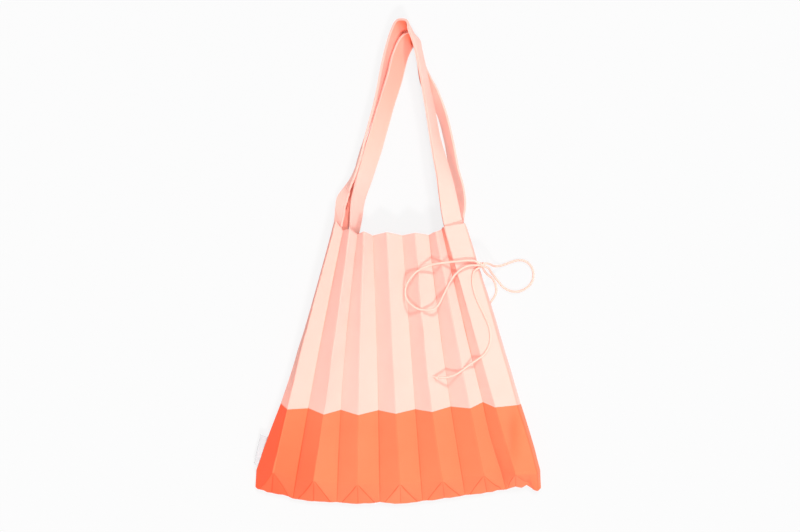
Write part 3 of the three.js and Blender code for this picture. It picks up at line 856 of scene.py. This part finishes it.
# The last value of a row, where given, is painted shade on the strap's inner face, deepest at the top where
# the straps fold over
STRAP_OUTER = [
    turn(-76.2, 318, 18, -30, tuck=100, upper=11, lower=14, painted_inner_shade=0.4),
    turn(-76.6, 335, 17, -46, tuck=120, upper=13.5, lower=18, painted_inner_shade=0.4),
    turn(-76, 346, 12.5, -55, tuck=127, upper=14, lower=19.5, painted_inner_shade=0.4),
    turn(-75.4, 357, 8.5, -58, tuck=128, upper=14, lower=19.5, painted_inner_shade=0.4),
    turn(-73.6, 368, 8, -58, tuck=128, upper=16.5, lower=20, painted_inner_shade=0.4),
    turn(-65.6, 379, 8.8, -45, tuck=110, upper=14, lower=16, painted_inner_shade=0.4),
    turn(-57.2, 390, 12.5, -20, tuck=40, painted_inner_shade=0.3),
    turn(-47.4, 413, 12.3, -8),
    turn(-37.8, 447, 12.3, -2),
    turn(-25.4, 488, 12.3, 7, painted_inner_shade=0.2),
    turn(-14.4, 530, 12.2, 22, painted_inner_shade=0.35),
    turn(-5.4, 556, 11, 38, painted_inner_shade=0.45),
    turn(0.4, 569.5, 10.5, 44, painted_inner_shade=0.6),
    turn(4.6, 575.8, 12, 45, painted_inner_shade=0.75),
    turn(11.8, 576, 17, 14, tuck=22, lower=16.5, painted_inner_shade=1),
    turn(17, 567.8, 21.5, -18, tuck=15, lower=17, painted_inner_shade=0.4),
    turn(21.2, 557, 23, -20, lower=15),
    turn(24.7, 545, 23, -20),
    turn(32, 510, 22, -22),
    turn(38.4, 476, 23, -26),
    turn(45.6, 435, 25, -31),
    turn(55.8, 391, 29, -50),
    turn(61, 361, 33, -65),
    turn(65.6, 337, 34.2, -68),
    turn(71.6, 316, 35.1, -73),
]
STRAP_INNER = [
    turn(-54.9, 312, 22.9, 21, painted_inner_shade=0.2),
    turn(-53, 326, 22.4, 24, painted_inner_shade=0.1),
    turn(-51.2, 341, 18.5, 32),
    turn(-48.6, 364, 12.5, 38),
    turn(-41.5, 389, 10.2, 47, upper=13),
    turn(-28.7, 435, 6.7, 65, upper=10.5, painted_inner_shade=0.2),
    turn(-13.2, 487, 8, 57, upper=11, painted_inner_shade=0.36),
    turn(-4.4, 513, 9, 51, painted_inner_shade=0.42),
    turn(2.7, 541, 9, 50, painted_inner_shade=0.5),
    turn(10.1, 556.2, 9, 50, painted_inner_shade=0.55),
    turn(14.5, 560.3, 8, 50, upper=10.2, lower=9, painted_inner_shade=1),
    turn(19.9, 557.5, 4.4, 70, upper=5.5, lower=5.5, painted_inner_shade=1),
    turn(24.9, 547, 4.2, 74, upper=5, lower=4, painted_inner_shade=1),
    turn(28.2, 529, 4, 76, upper=5.5, lower=4.5, painted_inner_shade=0.8),
    turn(34.2, 510, 5.6, 62, upper=8, lower=8, painted_inner_shade=0.5),
    turn(44.4, 489, 9.5, 36, upper=11, lower=11),
    turn(53.4, 468, 10.5, 25, lower=10),
    turn(61.6, 435, 10.1, 24, lower=9.5),
    turn(68, 401, 10.5, 25, lower=10),
    turn(73.9, 377, 11.3, 28, lower=11),
    turn(75.5, 358, 14.5, 29),
    turn(71.8, 341, 16, 36),
    turn(69.6, 326, 16.2, 48),
    turn(70, 314, 16, 55),
]


def strap_section():
    """Points round the section: along a half width of 1, and through half a thickness of 1."""
    face = [
        (0.955, 0.0), (0.998, 0.45), (0.99, 0.8), (0.95, 0.98), (0.875, 1.0), (0.825, 0.85),
        (0.775, 1.0), (0.55, 1.02), (0.3, 1.04), (0.1, 1.05), (0.0, 1.05),
    ]
    top = face + [(-u, v) for u, v in face[-2:0:-1]]
    bottom = [(-u, -v) for u, v in top]
    return np.array(top + [(-face[0][0], 0.0)] + bottom[1:])


def smooth_values(values, t):
    """Smooth curve through evenly spaced values."""
    v = np.asarray(values, float)
    v = np.r_[2 * v[0] - v[1], v, 2 * v[-1] - v[-2]]
    i = np.minimum(t.astype(int), len(values) - 2)
    s = t - i
    p0, p1, p2, p3 = v[i], v[i + 1], v[i + 2], v[i + 3]
    return p1 + 0.5 * s * (p2 - p0 + s * (2 * p0 - 5 * p1 + 4 * p2 - p3 + s * (3 * (p1 - p2) + p3 - p0)))


def strap(name, rows):
    """A strap along its rows."""
    rows = np.array(rows, float)
    line = centripetal(rows[:, :3], STRAP_PARTS)
    t = np.arange(len(line)) / STRAP_PARTS
    shape = [smooth_values(column, t) for column in rows[:, 3:].T]
    run = run_along(line)
    at = np.linspace(0, run[-1], int(run[-1] / STRAP_STEP) + 1)
    line = np.stack([np.interp(at, run, line[:, k]) for k in range(3)], axis=1)
    lean, tuck, upper, lower, painted_inner_shade = (np.interp(at, run, column)[:, None] for column in shape)
    way = directions(line)
    outward = np.stack([-way[:, 1], way[:, 0], np.zeros(len(way))], axis=1)
    outward /= np.linalg.norm(outward, axis=1)[:, None]
    upward = np.cross(way, outward)
    upward /= np.linalg.norm(upward, axis=1)[:, None]
    section = strap_section()
    high = section[None, :, 0] >= 0
    slack = 1 + sum(share * np.sin(slope * at + start) for share, slope, start in STRAP_SLACK)
    across = section[None, :, 0] * slack[:, None] * np.where(high, upper, lower)
    through = np.tile(section[None, :, 1] * STRAP_HALF_THICKNESS, (len(at), 1))
    angle = np.radians(np.where(high, lean, lean + tuck))
    out = across * np.sin(angle) + through * np.cos(angle)
    up = across * np.cos(angle) - through * np.sin(angle)
    rings = line[:, None, :] + outward[:, None, :] * out[:, :, None] + upward[:, None, :] * up[:, :, None]
    rings[:, :, 2] = np.maximum(rings[:, :, 2], STRAP_LIFT)
    # Painted shade on the inner face, as deep as each row asks, fading out at the edges
    fade = np.clip((SHADE_EDGE - np.abs(section[:, 0])) / SHADE_FADE, 0, 1)
    shade = np.clip(painted_inner_shade, 0, 1) * np.where(section[:, 1] < INNER_FACE, fade, 0)
    vertices, faces = ring_mesh(rings[:, ::-1])
    round_it = across[:, ::-1] + STRAP_EDGE_MAP * through[:, ::-1]
    uv = np.stack([round_it, np.tile(at[:, None], (1, len(section)))], axis=2).reshape(-1, 2)
    shade = np.r_[shade[:, ::-1].ravel(), 0, 0]
    obj = add_object(name + "_knit", vertices, faces, padded(uv, len(vertices)), shade)
    finish_piece(obj, STRAP, "strap_knit", name)


strap("strap_outer", STRAP_OUTER)
strap("strap_inner", STRAP_INNER)

# Blank tag in the left seam: a folded tape, between two places along the seam
LABEL_ENDS = [dict(line=1.5, reach=9.4), dict(line=1.07, reach=5.4)]
LABEL_FROM_SEAM = 0.6
LABEL_LEVEL = 9.15
LABEL_SLANT = 1 / 3
LABEL_SAG = 0.5
LABEL_WAVE = 0.3
LABEL_HALF_WAVES = 2.5
LABEL_ROWS = 25
LABEL_MAP = (8, 36)  # width and length of its map
# Upper half of the tape's section: share of the way from the seam, and height over the middle
LABEL_SECTION = [(0.0, 0.1), (0.3, 0.24), (0.7, 0.34), (0.92, 0.42), (0.98, 0.3)]


def side_tag():
    """Two layers of tape that meet in a soft fold at the outer edge."""
    inner_ends, outer_ends = [], []
    for end in LABEL_ENDS:
        seam = along_fold(SIDE_LEFT, end["line"])
        inner_ends.append(seam - [LABEL_FROM_SEAM, 0])
        outer_ends.append(inner_ends[-1] + np.array([-end["reach"], end["reach"] * LABEL_SLANT]))
    section = LABEL_SECTION + [(1.0, 0.0)] + [(u, -v) for u, v in LABEL_SECTION[::-1]]
    rings = []
    for s in np.linspace(0, 1, LABEL_ROWS):
        inner = inner_ends[0] + (inner_ends[1] - inner_ends[0]) * s
        outer = outer_ends[0] + (outer_ends[1] - outer_ends[0]) * s
        sag = LABEL_SAG * math.sin(math.pi * s) + LABEL_WAVE * math.sin(LABEL_HALF_WAVES * math.pi * s)
        rings.append([(*(inner + (outer - inner) * u), LABEL_LEVEL + v - sag * u) for u, v in section])
    vertices, faces = ring_mesh(np.array(rings))
    uv = np.tile(np.array([(LABEL_MAP[0] * u, v) for u, v in section]), (LABEL_ROWS, 1))
    uv[:, 1] += np.repeat(np.linspace(0, LABEL_MAP[1], LABEL_ROWS), len(section))
    obj = add_object("side_tag", vertices, faces, padded(uv, len(vertices)))
    return finish_piece(obj, LABEL, "label_weave", "side_label")


side_tag()

# Floor and light: a white table that glows a little, a broad lamp above and a small one at each end
FLOOR_HALF = 4  # metres
FLOOR_GLOW = 0.83
FLOOR_ROUGHNESS = 0.8
FLOOR_SPECULAR = 0.1
FLOOR_NOISE_SCALE = 3.0
FLOOR_TONES = ((0.082, 0.082, 0.083, 1), (0.09, 0.09, 0.09, 1))
WORLD_STRENGTH = 0.45


def floor_material():
    """White with a faint mottle."""
    material = bpy.data.materials.new("white_floor")
    material.use_nodes = True
    tree = material.node_tree
    shader = tree.nodes["Principled BSDF"]
    shader.inputs["Roughness"].default_value = FLOOR_ROUGHNESS
    shader.inputs["Specular IOR Level"].default_value = FLOOR_SPECULAR
    shader.inputs["Emission Color"].default_value = (1, 1, 1, 1)
    shader.inputs["Emission Strength"].default_value = FLOOR_GLOW
    noise = node(tree, "ShaderNodeTexNoise")
    noise.inputs["Scale"].default_value = FLOOR_NOISE_SCALE
    ramp = node(tree, "ShaderNodeValToRGB")
    ramp.color_ramp.elements[0].color = FLOOR_TONES[0]
    ramp.color_ramp.elements[1].color = FLOOR_TONES[1]
    tree.links.new(noise.outputs[0], ramp.inputs[0])
    tree.links.new(ramp.outputs[0], shader.inputs["Base Color"])
    return material


floor_corners = [(-FLOOR_HALF, -FLOOR_HALF, 0), (FLOOR_HALF, -FLOOR_HALF, 0)]
floor_corners += [(FLOOR_HALF, FLOOR_HALF, 0), (-FLOOR_HALF, FLOOR_HALF, 0)]
floor_mesh = bpy.data.meshes.new("floor")
floor_mesh.from_pydata(floor_corners, [], [(0, 1, 2, 3)])
floor_mesh.materials.append(floor_material())
floor = bpy.data.objects.new("floor", floor_mesh)
bpy.context.scene.collection.objects.link(floor)


def lamp(name, towards, strength, angle):
    """A far lamp; towards is the direction from the bag to it, and angle its width in degrees."""
    data = bpy.data.lights.new(name, "SUN")
    data.energy = strength
    data.angle = math.radians(angle)
    obj = bpy.data.objects.new(name, data)
    way = np.array(towards, float)
    way /= np.linalg.norm(way)
    obj.rotation_euler = (math.acos(way[2]), 0, math.atan2(way[0], -way[1]))
    bpy.context.scene.collection.objects.link(obj)


lamp("lamp_above", (0.2, 0.0, 1.0), strength=0.9, angle=40)
lamp("lamp_straps_side", (0.16, 0.68, 0.72), strength=1.85, angle=7)
lamp("lamp_hem_side", (0.16, -0.62, 0.78), strength=1.85, angle=7)

world = bpy.data.worlds.new("studio")
world.use_nodes = True
background = world.node_tree.nodes["Background"]
background.inputs["Color"].default_value = (1, 1, 1, 1)
background.inputs["Strength"].default_value = WORLD_STRENGTH
bpy.context.scene.world = world
bpy.context.scene.view_settings.view_transform = "Standard"
